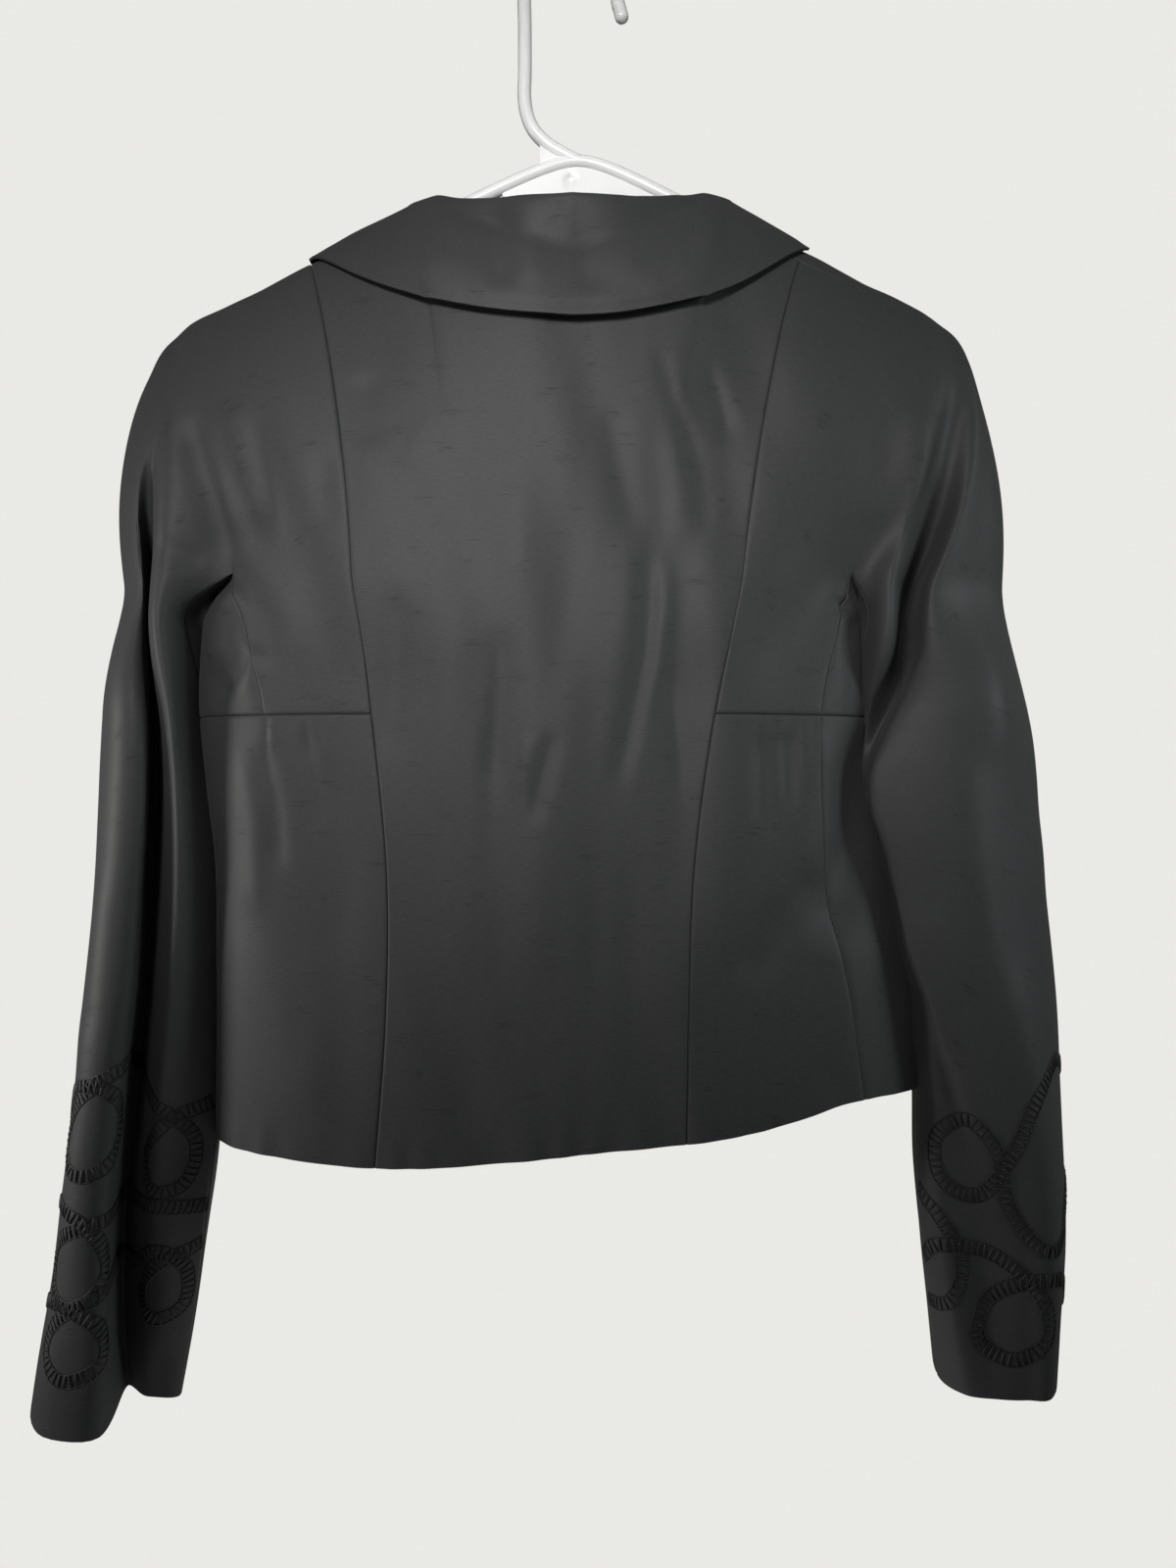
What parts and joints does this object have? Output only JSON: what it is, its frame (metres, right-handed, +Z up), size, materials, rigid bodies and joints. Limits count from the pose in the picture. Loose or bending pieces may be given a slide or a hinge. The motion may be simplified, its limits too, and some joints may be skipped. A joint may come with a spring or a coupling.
{
  "type": "blazer on a hanger",
  "caption": "Cropped long-sleeved blazer with a shawl collar, grown-on sleeves and underarm gussets, hanging on a plain tubular hanger.",
  "frame": {"origin": "inner top of the hanger's hook, where the rail bears", "axes": "+Z up, along the garment's length; +Y towards the garment's back; +X towards the wearer's left"},
  "size_m": [0.5472, 0.1143, 0.7802],
  "materials": {
    "cloth": "slubbed silk with a soft sheen",
    "buttons": "covered with the same cloth",
    "hanger_plastic": "glossy"
  },
  "bodies": {
    "root": {"back_centre": "cloth", "kimono_back_left": "cloth", "kimono_back_right": "cloth", "side_back_left": "cloth", "side_back_right": "cloth", "gusset_left": "cloth", "gusset_right": "cloth", "front_left": "cloth", "front_right": "cloth", "collar": "cloth", "button_1": "buttons", "button_2": "buttons", "button_3": "buttons", "hanger": "hanger_plastic"}
  },
  "joints": []
}
